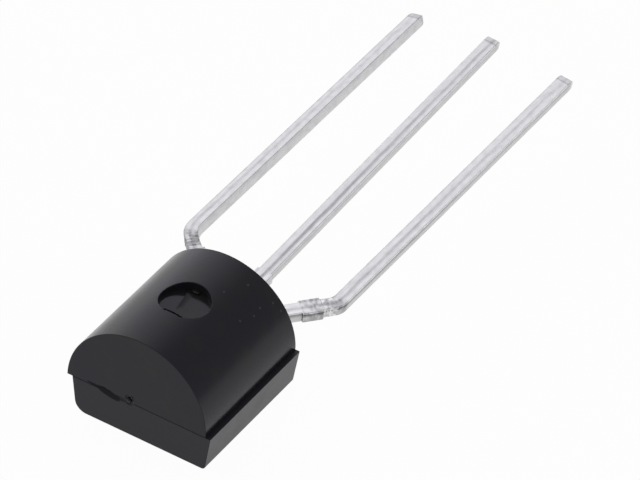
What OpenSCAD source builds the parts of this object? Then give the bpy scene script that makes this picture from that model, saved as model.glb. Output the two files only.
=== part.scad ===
// Three-lead transistor in a moulded plastic package, lying on its flat side.
// +X runs across the leads, +Y from the moulding to the lead tips, +Z from the flat side up to
// the round crown. The origin is the centre of the flat side. All sizes are millimetres.

/* [Moulding] */
// Width of the base at the parting plane
body_width = 4.6; // [4.4:0.05:5.2]
// Length of the moulding at the parting plane, along the leads
body_length = 4.64; // [4.4:0.02:5.2]
// Height of the parting plane above the flat side
base_height = 1.19; // [1:0.01:1.3]
// Radius of the round crown
crown_radius = 2.31; // [2.2:0.01:2.5]
// How far the crown half of the mould sits to the left of the base half
mould_mismatch = 0.17; // [0:0.01:0.2]
// How far the crown half sits towards the leads
crown_setback = 0.03; // [0:0.01:0.06]
// Draft of the two long sides of the base, degrees
base_side_draft = 7; // [2:0.5:9]
// Draft of the two ends of the base, degrees
base_end_draft = 1.2; // [0.4:0.2:4]
// Draft of the two ends of the crown, degrees
crown_end_draft = 1.1; // [0.5:0.1:4]
// Radius along the left bottom edge
left_edge_radius = 0.38; // [0.1:0.02:0.5]
// Radius along the right bottom edge
right_edge_radius = 0.12; // [0.06:0.02:0.5]

/* [Ejector pin mark] */
// Diameter of the round mark in the crown
mark_diameter = 1.5; // [1:0.1:1.8]
// Depth of the mark below the top of the crown
mark_depth = 0.3; // [0.2:0.05:0.4]
// Length of the plain bar on the floor of the mark
mark_bar_length = 0.62; // [0.4:0.02:0.8]
// Width of the bar
mark_bar_width = 0.16; // [0.1:0.02:0.2]
// Distance from the middle of the mark to the middle of the bar, towards the leads
mark_bar_offset = 0.19; // [0:0.01:0.2]
// Turn of the bar, anticlockwise from the length of the moulding, degrees
mark_bar_turn = 7; // [-20:1:20]
// Height of the bar
mark_bar_height = 0.05; // [0.02:0.01:0.08]

/* [Gate scar] */
// Width of the scar where the runner was broken off the closed end
gate_width = 1.78; // [1:0.02:2]
// Height of the scar
gate_height = 0.44; // [0.2:0.02:0.5]
// Height of the scar's middle above the parting plane
gate_rise = 0.05; // [-0.1:0.01:0.1]
// Depth of the scar
gate_depth = 0.06; // [0.03:0.01:0.1]
// Distance of the scar's middle from the moulding's centre line
gate_offset = -1.03; // [-1.2:0.01:1.2]

/* [Lead frame] */
// Width of a lead
lead_width = 0.42; // [0.36:0.01:0.5]
// Thickness of the lead frame
lead_thickness = 0.35; // [0.3:0.01:0.42]
// Spacing of the leads where they leave the moulding
lead_pitch = 1.27; // [1.25:0.01:1.3]
// Length of the centre lead outside the moulding
lead_length = 14.83; // [12.7:0.01:15]
// How much shorter the outer leads end
outer_lead_gap = 0.29; // [0:0.01:0.5]
// How far the lead frame sits to the left of the base half
frame_mismatch = 0.155; // [0:0.005:0.2]
// Start of the trimmed dam bar, measured along a lead from the moulding
dam_bar_start = 1.37; // [1.25:0.01:1.4]
// Width of the trimmed dam bar, measured along a lead
dam_bar_width = 0.63; // [0.4:0.01:0.7]
// How far the sheared stubs of the dam bar stand out of a lead's edges
dam_bar_stub = 0.06; // [0.02:0.01:0.1]
// Length of the bevel at a lead's tip
tip_bevel_length = 0.2; // [0.05:0.01:0.3]
// Height of the bevel at a lead's tip
tip_bevel_height = 0.14; // [0.05:0.01:0.2]

/* [Lead forming] */
// Sideways step of the left lead
left_spread = 1.485; // [1.1:0.005:1.6]
// Sideways step of the right lead
right_spread = 1.13; // [1.1:0.005:1.6]
// Angle of the left lead where it steps outwards, degrees
left_angle = 46.4; // [38:0.2:50]
// Angle of the right lead where it steps outwards, degrees
right_angle = 41.8; // [38:0.2:50]
// Straight length of an outer lead before its first bend
joggle_start = 0.65; // [0.5:0.01:0.7]
// Bend radius along the middle of a lead
bend_radius = 0.42; // [0.35:0.01:0.5]
// Turn of the left lead towards the middle, degrees
left_toe = 1.1; // [-1.5:0.05:1.5]
// Turn of the centre lead to the left, degrees
centre_toe = 0.2; // [-0.5:0.05:0.5]
// Turn of the right lead away from the middle, degrees
right_toe = 1.2; // [-1.5:0.05:1.5]
// Rise of the centre lead away from the flat side, degrees
centre_rise = 1.75; // [0:0.01:2]
// Rise of the outer leads away from the flat side, degrees
outer_rise = 1.63; // [0:0.01:2]
// Distance from the moulding to the line where the leads start to rise
rise_start = 0.28; // [0.2:0.01:0.4]

/* [Inside the moulding] */
// Width of the flag that carries the die
flag_width = 1.9; // [1.6:0.1:2.2]
// Length of the flag
flag_length = 1.8; // [1.5:0.1:2]
// Side of the square silicon die
die_side = 0.42; // [0.3:0.02:0.6]
// Thickness of the die
die_thickness = 0.2; // [0.15:0.01:0.25]
// Thickness of the solder under the die
solder_thickness = 0.03; // [0.02:0.005:0.05]
// Diameter of the gold bond wires
wire_diameter = 0.05; // [0.03:0.005:0.06]
// Height of a bond wire's loop above the die
loop_height = 0.32; // [0.25:0.01:0.5]

/* [Hidden] */

big = 20;                                   // larger than the moulding in every direction
seam = 0.0002;                              // overlap of the pieces that make one outline
half_width = body_width / 2;
half_length = body_length / 2;
crown_x = -mould_mismatch;                  // axis of the crown
crown_top = base_height + crown_radius;
base_bottom_half = half_width - base_height * tan(base_side_draft);
base_end_shift = base_height * tan(base_end_draft);

frame_bottom = base_height;                 // the lead frame lies on the parting plane
frame_top = frame_bottom + lead_thickness;
frame_x = -frame_mismatch;                  // middle of the centre lead
rise_y = half_length + rise_start;

flag_near_y = -1.5;
flag_corner = 0.15;
post_near_y = 0.68;                         // near end of an outer lead's bonding post
post_width = 0.8;
post_length = 0.72;
lock_y = 1.62;                              // wings that lock a lead in the plastic
lock_length = 0.26;
lock_wing = 0.24;

die_x = frame_x;
die_y = flag_near_y + 0.95;
solder_margin = 0.06;
solder_top = frame_top + solder_thickness;
die_top = solder_top + die_thickness;

ball_diameter = 2.2 * wire_diameter;
ball_height = 0.6 * wire_diameter;
loop_bend = 0.09;                           // radius of the bend at the top of a loop
foot_diameter = 2.6 * wire_diameter;
foot_height = 0.3 * wire_diameter;
bond_pad_x = 0.11;                          // bond pads on the die, from its centre
bond_pad_y = 0.08;
post_bond_y = 0.98;

round_fn = 96;
wire_fn = 24;

// ---- moulding ---------------------------------------------------------------------------------

// Section of the base across the leads: drafted sides that meet the flat side in an arc.
module base_section() {
    half_base_section(right_edge_radius);
    mirror([1, 0]) half_base_section(left_edge_radius);
}

module half_base_section(r) {
    corner_x = base_bottom_half - r * (1 - sin(base_side_draft)) / cos(base_side_draft);
    touch_x = corner_x + r * cos(base_side_draft);
    touch_z = r * (1 - sin(base_side_draft));
    polygon([
        [-seam, 0], [corner_x, 0], [corner_x, r], [touch_x, touch_z], [half_width, base_height],
        [-seam, base_height]
    ]);
    translate([corner_x, r]) circle(r, $fn = round_fn);
}

// Stands a section drawn in X and Z upright and runs it along Y.
module along_y(length) {
    translate([0, length / 2, 0]) rotate([90, 0, 0]) linear_extrude(length) children();
}

// Turns a section drawn in Y and Z so that it runs along X.
module along_x(width) {
    translate([-width / 2, 0, 0]) rotate([90, 0, 90]) linear_extrude(width) children();
}

module base_half() {
    intersection() {
        along_y(big) base_section();
        along_x(big) polygon([
            [-half_length + base_end_shift, 0], [half_length - base_end_shift, 0],
            [half_length, base_height], [-half_length, base_height]
        ]);
    }
}

module crown_half() {
    shift = crown_radius * tan(crown_end_draft);
    translate([crown_x, crown_setback, 0]) intersection() {
        translate([0, 0, base_height]) rotate([90, 0, 0])
            cylinder(h = big, r = crown_radius, center = true, $fn = 2 * round_fn);
        along_x(big) polygon([
            [-half_length, base_height], [half_length, base_height],
            [half_length - shift, crown_top], [-half_length + shift, crown_top]
        ]);
    }
}

// Round recess of the ejector pin, with a plain bar left standing on its floor.
module ejector_mark() {
    floor_z = crown_top - mark_depth;
    translate([crown_x, 0, floor_z]) difference() {
        cylinder(h = big, d = mark_diameter, $fn = round_fn);
        translate([0, mark_bar_offset, -1]) rotate(mark_bar_turn)
            translate([-mark_bar_width / 2, -mark_bar_length / 2])
                cube([mark_bar_width, mark_bar_length, 1 + mark_bar_height]);
    }
}

// Torn leaf of plastic missing where the runner was broken off.
module gate_scar() {
    half = gate_width / 2;
    height = gate_height / 2;
    scar_z = base_height + gate_rise;
    translate([gate_offset, -half_length + gate_depth, scar_z]) rotate([90, 0, 0])
        linear_extrude(1) polygon([
            [-half, -0.1 * height], [-0.6 * half, 0.68 * height], [0.02 * half, 0.77 * height],
            [0.62 * half, height], [0.92 * half, 0.64 * height], [half, -0.1 * height],
            [0.82 * half, -0.6 * height], [0.33 * half, -0.6 * height], [0.03 * half, -height],
            [-0.27 * half, -0.95 * height], [-0.5 * half, -0.32 * height]
        ]);
}

module moulding_outside() {
    difference() {
        union() {
            base_half();
            crown_half();
        }
        ejector_mark();
        gate_scar();
    }
}

module moulded_body() {
    color([0.16, 0.16, 0.17]) difference() {
        moulding_outside();
        left_lead();
        centre_lead();
        right_lead();
        die_solder();
        silicon_die();
        left_bond_wire();
        right_bond_wire();
    }
}

// ---- lead frame -------------------------------------------------------------------------------

// Piece of strip that starts at the origin and runs along +Y.
module strip(length) {
    translate([-lead_width / 2, -seam]) square([lead_width, length + 2 * seam]);
}

// Bend that starts at the origin along +Y. side is 1 to turn right and -1 to turn left.
module bend(angle, side) {
    reach = 2 * (bend_radius + lead_width);
    translate([side * bend_radius, 0]) intersection() {
        difference() {
            circle(bend_radius + lead_width / 2, $fn = round_fn);
            circle(bend_radius - lead_width / 2, $fn = round_fn);
        }
        polygon([
            [0, 0], [-side * reach, 0], [-side * reach, reach * sin(angle)],
            [-side * reach * cos(angle), reach * sin(angle)]
        ]);
    }
}

// Places what follows at the end of a bend, along its new direction.
module after_bend(angle, side) {
    translate([side * bend_radius * (1 - cos(angle)), bend_radius * sin(angle)])
        rotate(-side * angle) children();
}

// Sheared remains of the dam bar on both edges of a lead.
module dam_bar() {
    translate([-lead_width / 2 - dam_bar_stub, 0])
        square([lead_width + 2 * dam_bar_stub, dam_bar_width]);
}

// Wings that keep a lead from being pulled out of the plastic.
module lock_wings(left, right) {
    translate([-lead_width / 2 - left, lock_y])
        square([lead_width + left + right, lock_length]);
}

// Outline of an outer lead from the edge of the moulding on, stepping outwards to one side.
module joggled_outline(spread, angle, toe, side) {
    back_turn = angle + toe;
    bends = bend_radius * (1 + cos(toe) - 2 * cos(angle));
    run = (spread - bends) / sin(angle);
    first_arc = bend_radius * angle * PI / 180;
    strip(joggle_start);
    translate([0, joggle_start]) {
        bend(angle, side);
        after_bend(angle, side) {
            strip(run);
            translate([0, dam_bar_start - joggle_start - first_arc]) dam_bar();
            translate([0, run]) {
                bend(back_turn, -side);
                after_bend(back_turn, -side) strip(lead_length);
            }
        }
    }
}

module outer_lead_outline(spread, angle, toe, side) {
    translate([frame_x + side * lead_pitch, 0]) {
        translate([0, half_length]) joggled_outline(spread, angle, toe, side);
        translate([0, post_near_y]) strip(half_length - post_near_y);
        translate([-post_width / 2, post_near_y]) square([post_width, post_length]);
        if (side > 0) lock_wings(0, lock_wing);
        if (side < 0) lock_wings(lock_wing, 0);
    }
}

module centre_lead_outline() {
    translate([frame_x, 0]) {
        translate([0, half_length]) rotate(centre_toe) {
            strip(lead_length + 1);
            translate([0, dam_bar_start]) dam_bar();
        }
        strip(half_length);
        translate([-flag_width / 2, flag_near_y + flag_corner])
            square([flag_width, flag_length - 2 * flag_corner]);
        translate([-flag_width / 2 + flag_corner, flag_near_y])
            square([flag_width - 2 * flag_corner, flag_length]);
        for (x = [-1, 1], y = [flag_corner, flag_length - flag_corner])
            translate([x * (flag_width / 2 - flag_corner), flag_near_y + y])
                circle(flag_corner, $fn = round_fn / 2);
        lock_wings(lock_wing / 2, lock_wing / 2);
    }
}

// Side view of a lead: flat inside the moulding, then rising to a bevelled tip.
module side_view(length, angle) {
    tip_y = half_length + length;
    slope = tan(angle);
    rise = (tip_y - rise_y) * slope;
    bevel_y = tip_y - tip_bevel_length;
    polygon([
        [flag_near_y - 1, frame_bottom], [rise_y, frame_bottom], [tip_y, frame_bottom + rise],
        [tip_y, frame_top + rise - tip_bevel_height],
        [bevel_y, frame_top + rise - tip_bevel_length * slope],
        [rise_y, frame_top], [flag_near_y - 1, frame_top]
    ]);
}

// A stamped lead is its outline cut from strip and its side view bent into it.
module stamped_lead(length, angle) {
    color([0.8, 0.8, 0.82]) intersection() {
        linear_extrude(big / 2) children();
        along_x(big) side_view(length, angle);
    }
}

module left_lead() {
    stamped_lead(lead_length - outer_lead_gap, outer_rise)
        outer_lead_outline(left_spread, left_angle, left_toe, -1);
}

module centre_lead() {
    stamped_lead(lead_length, centre_rise) centre_lead_outline();
}

module right_lead() {
    stamped_lead(lead_length - outer_lead_gap, outer_rise)
        outer_lead_outline(right_spread, right_angle, -right_toe, 1);
}

// ---- die and wires ----------------------------------------------------------------------------

module square_plate(side, thickness, z) {
    translate([die_x - side / 2, die_y - side / 2, z]) cube([side, side, thickness]);
}

module die_solder() {
    color([0.55, 0.55, 0.56]) square_plate(die_side + 2 * solder_margin, solder_thickness, frame_top);
}

module silicon_die() {
    color([0.3, 0.32, 0.36]) square_plate(die_side, die_thickness, solder_top);
}

// Wire that leaves a ball on the die, bends over at the top of its loop and runs down to a post.
module bond_wire(side) {
    start = [die_x + side * bond_pad_x, die_y + bond_pad_y];
    end = [frame_x + side * (lead_pitch - 0.1), post_bond_y];
    span = norm(end - start);
    heading = atan2(end[1] - start[1], end[0] - start[0]);
    drop = die_top + loop_height - frame_top - wire_diameter / 2;
    slant = atan2(drop, span - loop_bend);
    rise = loop_height - loop_bend - wire_diameter / 2;
    bend_end_x = loop_bend * (1 + sin(slant));
    bend_end_z = rise + loop_bend * cos(slant);
    run = (bend_end_z + die_top - frame_top - wire_diameter / 2) / sin(slant);
    color([0.9, 0.75, 0.3]) translate([start[0], start[1], die_top]) rotate(heading) {
        cylinder(h = ball_height, d = ball_diameter, $fn = wire_fn);
        cylinder(h = rise, d = wire_diameter, $fn = wire_fn);
        translate([loop_bend, 0, rise]) rotate([90, 0, 0]) rotate([0, 0, 90 - slant])
            rotate_extrude(angle = 90 + slant, $fn = 2 * wire_fn)
                translate([loop_bend, 0]) circle(d = wire_diameter, $fn = wire_fn);
        translate([bend_end_x, 0, bend_end_z]) rotate([0, 90 + slant, 0])
            cylinder(h = run, d = wire_diameter, $fn = wire_fn);
        translate([bend_end_x + run * cos(slant), 0, frame_top - die_top])
            cylinder(h = foot_height, d = foot_diameter, $fn = wire_fn);
    }
}

module left_bond_wire() { bond_wire(-1); }

module right_bond_wire() { bond_wire(1); }

moulded_body();
left_lead();
centre_lead();
right_lead();
die_solder();
silicon_die();
left_bond_wire();
right_bond_wire();
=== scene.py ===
"""Looks of a three-lead moulded transistor that lies on its flat side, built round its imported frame.

The moulding and the three leads are shaped in millimetres, scaled to metres when they are finished,
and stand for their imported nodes. The die, its solder and the bond wires, which are sealed in the
moulding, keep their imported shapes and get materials.
"""

import logging
import math
from collections.abc import Callable, Iterator
from contextlib import contextmanager
from dataclasses import dataclass
from enum import Enum

import bmesh
import bpy
from mathutils import Matrix, Vector


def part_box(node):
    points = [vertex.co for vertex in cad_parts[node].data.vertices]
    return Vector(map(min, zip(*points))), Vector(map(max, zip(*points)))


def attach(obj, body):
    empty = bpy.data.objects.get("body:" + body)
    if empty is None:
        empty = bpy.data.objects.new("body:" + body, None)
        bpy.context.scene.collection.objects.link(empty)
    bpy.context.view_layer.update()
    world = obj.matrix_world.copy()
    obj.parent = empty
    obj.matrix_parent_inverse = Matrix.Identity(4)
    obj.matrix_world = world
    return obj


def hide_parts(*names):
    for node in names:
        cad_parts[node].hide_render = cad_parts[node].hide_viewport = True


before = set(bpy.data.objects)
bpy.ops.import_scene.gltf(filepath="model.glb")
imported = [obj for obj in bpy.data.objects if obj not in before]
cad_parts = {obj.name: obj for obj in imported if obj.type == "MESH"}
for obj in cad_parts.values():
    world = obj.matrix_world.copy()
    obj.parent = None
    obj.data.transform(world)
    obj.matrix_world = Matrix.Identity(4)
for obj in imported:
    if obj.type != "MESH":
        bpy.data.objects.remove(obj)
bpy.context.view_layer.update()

MM = 0.001  # a millimetre in metres
TINY = 1e-4  # millimetres; points this close are one point
BODY = "root"  # everything rides on the one rigid body
STRIP = "strip"  # the attribute that keeps each point's place on a lead's flat blank
ACROSS, AHEAD, UP = Vector((1, 0, 0)), Vector((0, 1, 0)), Vector((0, 0, 1))

log = logging.getLogger("scene")
Rule = Callable[[Vector], Vector]
Test = Callable[[Vector, Vector], bool]
Colour = tuple[float, float, float, float]
Pair = tuple[float, float]
Triple = tuple[float, float, float]


# ---- the bench: shaping a piece with edit-mode operators ---------------------------------------


class Element(Enum):
    """What an edit-mode choice is made of."""

    POINTS = "VERT"
    EDGES = "EDGE"
    FACES = "FACE"


class Keep(Enum):
    """Which side of a slicing plane stays. FRONT is the side that the plane's normal points to."""

    BOTH = (False, False)
    BACK = (False, True)
    FRONT = (True, False)


class Workpiece:
    """A mesh on the bench, in millimetres in the row frame, and the operators that shape it."""

    def __init__(self, name: str) -> None:
        """Takes over the primitive that was just added.

        Args:
            name: The piece's name in the scene.
        """
        self.thing = bpy.context.object
        self.thing.name = name
        bpy.ops.object.transform_apply(location=True, rotation=True, scale=True)

    @classmethod
    def block(cls, name: str, low: Vector, high: Vector) -> "Workpiece":
        """Starts from a block between two corners.

        Args:
            name: The piece's name.
            low: Lowest corner.
            high: Highest corner.

        Returns:
            The block, ready to be shaped.
        """
        bpy.ops.object.select_all(action="DESELECT")
        bpy.ops.mesh.primitive_cube_add(size=1, location=(low + high) / 2)
        bpy.context.object.scale = high - low
        return cls(name)

    @classmethod
    def rod(cls, name: str, centre: Vector, radius: float, length: float, sides: int) -> "Workpiece":
        """Starts from a round rod along Y.

        Args:
            name: The piece's name.
            centre: Middle of the rod.
            radius: Radius of the rod.
            length: Length of the rod.
            sides: Number of its flat sides.

        Returns:
            The rod, ready to be shaped.
        """
        bpy.ops.object.select_all(action="DESELECT")
        bpy.ops.mesh.primitive_cylinder_add(
            vertices=sides,
            radius=radius,
            depth=length,
            location=centre,
            rotation=(math.pi / 2, 0, 0),
        )
        return cls(name)

    @classmethod
    def pebble(
        cls,
        name: str,
        centre: Vector,
        half: Triple,
        roughness: float,
        grain: float,
        turn: float = 0.0,
        tip: float = 0.0,
    ) -> "Workpiece":
        """Makes a flattened ball with a rough surface.

        Args:
            name: The piece's name.
            centre: Middle of the pebble.
            half: Half its size along each axis, before it is turned.
            roughness: Distance from its lowest to its highest bump.
            grain: Size of the bumps.
            turn: Turn about Y in degrees, after it is tipped.
            tip: Turn about X in degrees.

        Returns:
            The pebble.
        """
        bpy.ops.object.select_all(action="DESELECT")
        bpy.ops.mesh.primitive_ico_sphere_add(subdivisions=4, radius=1, location=centre)
        bpy.context.object.scale = half
        bpy.context.object.rotation_euler = (math.radians(tip), math.radians(turn), 0)
        made = cls(name)
        made.roughen(roughness, grain)
        return made

    @contextmanager
    def editing(self) -> Iterator[None]:
        """Opens edit mode on this piece alone, with nothing selected."""
        self._take()
        bpy.ops.object.mode_set(mode="EDIT")
        bpy.ops.mesh.select_mode(type="VERT")
        bpy.ops.mesh.select_all(action="DESELECT")
        yield
        bpy.ops.object.mode_set(mode="OBJECT")

    def _take(self) -> None:
        """Makes this piece the only selected one and the active one."""
        bpy.ops.object.select_all(action="DESELECT")
        self.thing.select_set(True)
        bpy.context.view_layer.objects.active = self.thing

    def pick(self, element: Element, test: Test) -> None:
        """Selects the elements whose centre and normal pass a test.

        Args:
            element: Points, edges or faces.
            test: Gets a centre and a normal, and says whether the element is picked.
        """
        place = {
            Element.POINTS: lambda point: (point.co, point.normal),
            Element.EDGES: _edge_place,
            Element.FACES: lambda face: (face.calc_center_median(), face.normal),
        }[element]
        self._choose(element, lambda item: test(*place(item)))

    def pick_sharp(self, degrees: float, test: Test) -> None:
        """Selects the edges that turn by more than an angle and whose centre and normal pass a test.

        Args:
            degrees: The least turn between an edge's two faces.
            test: Gets an edge's centre and normal.
        """
        limit = math.radians(degrees)

        def fits(edge: bmesh.types.BMEdge) -> bool:
            """Whether an edge is sharp enough and passes the test."""
            sharp = edge.is_manifold and edge.calc_face_angle() > limit
            return sharp and test(*_edge_place(edge))

        self._choose(Element.EDGES, fits)

    def pick_open_edges(self) -> None:
        """Selects the edges round holes."""
        self._choose(Element.EDGES, lambda edge: edge.is_boundary or edge.is_wire)

    def pick_all(self) -> None:
        """Selects everything."""
        bpy.ops.mesh.select_all(action="SELECT")

    def _choose(self, element: Element, fits: Callable[[object], bool]) -> None:
        """Selects the elements that fit, and nothing else.

        Args:
            element: Points, edges or faces.
            fits: Gets an element and says whether it is picked.
        """
        bpy.ops.mesh.select_mode(type=element.value)
        bpy.ops.mesh.select_all(action="DESELECT")
        mesh = bmesh.from_edit_mesh(self.thing.data)
        kinds = {Element.POINTS: mesh.verts, Element.EDGES: mesh.edges, Element.FACES: mesh.faces}
        for item in kinds[element]:
            if fits(item):
                item.select_set(True)
        bmesh.update_edit_mesh(self.thing.data)

    def reshape(self, rule: Rule) -> None:
        """Moves each selected point to where a rule puts it.

        Args:
            rule: Gets a point and gives its new place.
        """
        mesh = bmesh.from_edit_mesh(self.thing.data)
        for point in mesh.verts:
            if point.select:
                point.co = rule(point.co.copy())
        bmesh.update_edit_mesh(self.thing.data)

    def shift(self, move: Vector) -> None:
        """Moves what is selected."""
        bpy.ops.transform.translate(value=move)

    def resize(self, factors: Triple, centre: Vector) -> None:
        """Scales what is selected about a point."""
        bpy.ops.transform.resize(value=factors, center_override=centre)

    def turn(self, axis: str, degrees: float, centre: Vector) -> None:
        """Turns what is selected by the right-hand rule; the operator itself goes the other way."""
        angle = -math.radians(degrees)
        bpy.ops.transform.rotate(value=angle, orient_axis=axis, center_override=centre)

    def extrude(self, move: Vector) -> None:
        """Draws the selected faces out by a move."""
        bpy.ops.mesh.extrude_region_move(TRANSFORM_OT_translate={"value": move})

    def extrude_edges(self, move: Vector) -> None:
        """Draws the selected edges out by a move."""
        bpy.ops.mesh.extrude_edges_move(TRANSFORM_OT_translate={"value": move})

    def slice(self, point: Vector, normal: Vector, keep: Keep = Keep.BOTH) -> None:
        """Cuts the piece along a plane.

        Args:
            point: A point of the plane.
            normal: The plane's normal.
            keep: Which side stays; the cut is closed where one side goes.
        """
        clear_back, clear_front = keep.value
        self.pick_all()
        bpy.ops.mesh.bisect(
            plane_co=point,
            plane_no=normal,
            use_fill=keep is not Keep.BOTH,
            clear_inner=clear_back,
            clear_outer=clear_front,
            threshold=TINY,
        )

    def bevel(self, width: float, strips: int) -> None:
        """Rounds the selected edges over a width on both sides of them, in a number of strips."""
        bpy.ops.mesh.bevel(
            offset=width, segments=strips, profile=0.5, affect="EDGES", clamp_overlap=True
        )

    def modify(self, kind: str, **settings: object) -> None:
        """Adds a modifier and applies it.

        Args:
            kind: Blender's name of the modifier.
            settings: The modifier's settings.
        """
        self._take()
        modifier = self.thing.modifiers.new(kind, kind)
        for setting, value in settings.items():
            setattr(modifier, setting, value)
        bpy.ops.object.modifier_apply(modifier=modifier.name)

    def cut_away(self, tool: "Workpiece") -> None:
        """Takes another piece's volume out of this one. The other piece is used up."""
        self._combine("DIFFERENCE", tool)

    def weld_on(self, other: "Workpiece") -> None:
        """Makes another piece and this one into one solid. The other piece is used up."""
        self._combine("UNION", other)

    def _combine(self, operation: str, other: "Workpiece") -> None:
        """Runs one Boolean operation on this piece and another, and removes the other."""
        self.modify("BOOLEAN", operation=operation, object=other.thing, solver="EXACT")
        bpy.data.objects.remove(other.thing)

    def roughen(
        self,
        strength: float,
        grain: float,
        stretch: Vector | None = None,
        group: str = "",
        creased: bool = False,
    ) -> None:
        """Pushes the surface in and out along its normals by a cloud pattern.

        Args:
            strength: Distance from the lowest to the highest point.
            grain: Size of the pattern's blobs.
            stretch: How many times longer the blobs are along each axis.
            group: Vertex group that says where, or nothing for everywhere.
            creased: Puts sharp creases between the blobs.
        """
        clouds = bpy.data.textures.new(self.thing.name, "CLOUDS")
        clouds.noise_scale = grain
        clouds.noise_type = "HARD_NOISE" if creased else "SOFT_NOISE"
        settings = {"texture": clouds, "strength": strength, "vertex_group": group}
        ruler = None
        if stretch is not None:
            ruler = add_object(f"{self.thing.name}_ruler", None)
            ruler.scale = stretch
            bpy.context.view_layer.update()
            settings |= {"texture_coords": "OBJECT", "texture_coords_object": ruler}
        self.modify("DISPLACE", **settings)
        if ruler is not None:
            bpy.data.objects.remove(ruler)

    def weigh(self, group: str, rule: Callable[[Vector], float]) -> None:
        """Makes a vertex group whose weights follow a rule.

        Args:
            group: The group's name.
            rule: Gets a point and gives its weight from 0 to 1.
        """
        made = self.thing.vertex_groups.new(name=group)
        for point in self.thing.data.vertices:
            weight = rule(point.co)
            if weight > 0:
                made.add([point.index], weight, "REPLACE")

    def finish(self, material: bpy.types.Material, slot: str, node: str) -> bpy.types.Object:
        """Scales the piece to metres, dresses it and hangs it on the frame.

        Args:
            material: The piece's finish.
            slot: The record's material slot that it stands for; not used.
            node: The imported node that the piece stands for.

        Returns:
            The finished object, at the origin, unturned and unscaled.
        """
        with self.editing():
            self.pick_all()
            bpy.ops.mesh.remove_doubles(threshold=TINY)
            bpy.ops.mesh.normals_make_consistent(inside=False)
        self._take()
        bpy.ops.object.shade_smooth_by_angle(angle=math.radians(30))
        self.modify("WEIGHTED_NORMAL", keep_sharp=True)
        bpy.ops.transform.resize(value=(MM, MM, MM), center_override=(0, 0, 0))
        bpy.ops.object.transform_apply(location=True, rotation=True, scale=True)
        self.thing.data.materials.clear()
        self.thing.data.materials.append(material)
        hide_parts(node)
        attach(self.thing, BODY)
        return self.thing


def _edge_place(edge: bmesh.types.BMEdge) -> tuple[Vector, Vector]:
    """The middle of an edge and the mean normal of its faces."""
    normal = sum((face.normal for face in edge.link_faces), Vector()).normalized()
    return (edge.verts[0].co + edge.verts[1].co) / 2, normal


def add_object(name: str, data: bpy.types.ID | None) -> bpy.types.Object:
    """Adds an object to the scene.

    Args:
        name: The object's name.
        data: What it holds, or nothing for an empty.

    Returns:
        The object.
    """
    made = bpy.data.objects.new(name, data)
    bpy.context.scene.collection.objects.link(made)
    return made


# ---- shader trees -------------------------------------------------------------------------------


def math_method(operation: str, swapped: bool = False) -> Callable[["Signal", "Number"], "Signal"]:
    """Makes a method that joins a signal and another value in one Math node.

    Args:
        operation: The node's operation.
        swapped: Puts the other value first.

    Returns:
        The method.
    """

    def method(this: "Signal", other: "Number") -> "Signal":
        """The result of the operation on this signal and another value."""
        sockets = {0: other, 1: this} if swapped else {0: this, 1: other}
        return this.tree.add("ShaderNodeMath", {"operation": operation}, sockets, "Value")

    return method


class Signal:
    """A shader output that takes part in Python arithmetic. Comparisons give 1 or 0."""

    def __init__(self, tree: "ShaderTree", socket: bpy.types.NodeSocket) -> None:
        """Wraps a socket of a tree."""
        self.tree = tree
        self.socket = socket

    __add__ = __radd__ = math_method("ADD")
    __sub__ = math_method("SUBTRACT")
    __rsub__ = math_method("SUBTRACT", swapped=True)
    __mul__ = __rmul__ = math_method("MULTIPLY")
    __gt__ = math_method("GREATER_THAN")
    __lt__ = math_method("LESS_THAN")
    _absolute = math_method("ABSOLUTE")

    def __abs__(self) -> "Signal":
        """Size without its sign."""
        return self._absolute(0.0)

    def ramp(self, low: float, high: float) -> "Signal":
        """Runs smoothly from 0 at one value to 1 at another.

        Args:
            low: Where the result is 0.
            high: Where the result is 1; it may be below low.

        Returns:
            The result, kept between 0 and 1.
        """
        sockets = {"Value": self, "From Min": low, "From Max": high}
        settings = {"interpolation_type": "SMOOTHSTEP"}
        return self.tree.add("ShaderNodeMapRange", settings, sockets, "Result")


Number = Signal | float


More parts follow.
